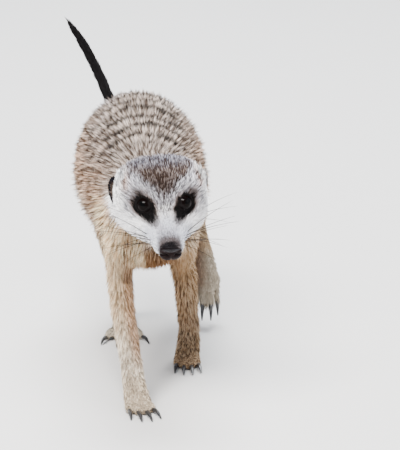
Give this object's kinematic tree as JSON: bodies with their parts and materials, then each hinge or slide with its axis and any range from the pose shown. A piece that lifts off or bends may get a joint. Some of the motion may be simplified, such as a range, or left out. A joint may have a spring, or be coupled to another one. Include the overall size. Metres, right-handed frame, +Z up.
{
  "type": "meerkat",
  "caption": "Life-size still model of a meerkat in mid stride, head lowered and looking ahead, standing on small flat soles.",
  "frame": {"origin": "middle of the bounding box's base, on the floor the soles stand on", "axes": "+Z up, +Y from the nose towards the tail, +X to the animal's left"},
  "size_m": [0.0942, 0.4486, 0.157],
  "materials": {
    "fur_grizzled": "short grizzled grey-buff coat",
    "fur_pale": "short cream coat of the legs",
    "fur_black": "short black coat of the ears and tail tip",
    "eye_brown": "polished, near black brown",
    "nose_skin": "bare, finely grained, slightly moist",
    "claw_horn": "smooth dark horn"
  },
  "bodies": {
    "root": {"head": "fur_grizzled", "neck": "fur_grizzled", "trunk": "fur_grizzled", "tail_base": "fur_grizzled", "tail_middle": "fur_grizzled", "tail_tip": "fur_black", "ear_left": "fur_black", "ear_right": "fur_black", "eye_left": "eye_brown", "eye_right": "eye_brown", "nose": "nose_skin", "fore_left_upper_arm": "fur_pale", "fore_left_forearm": "fur_pale", "fore_left_paw": "fur_pale", "claw_fore_left_1": "claw_horn", "claw_fore_left_2": "claw_horn", "claw_fore_left_3": "claw_horn", "claw_fore_left_4": "claw_horn", "fore_right_upper_arm": "fur_pale", "fore_right_forearm": "fur_pale", "fore_right_paw": "fur_pale", "claw_fore_right_1": "claw_horn", "claw_fore_right_2": "claw_horn", "claw_fore_right_3": "claw_horn", "claw_fore_right_4": "claw_horn", "hind_left_thigh": "fur_pale", "hind_left_shank": "fur_pale", "hind_left_foot": "fur_pale", "claw_hind_left_1": "claw_horn", "claw_hind_left_2": "claw_horn", "claw_hind_left_3": "claw_horn", "claw_hind_left_4": "claw_horn", "hind_right_thigh": "fur_pale", "hind_right_shank": "fur_pale", "hind_right_foot": "fur_pale", "claw_hind_right_1": "claw_horn", "claw_hind_right_2": "claw_horn", "claw_hind_right_3": "claw_horn", "claw_hind_right_4": "claw_horn"}
  },
  "joints": []
}
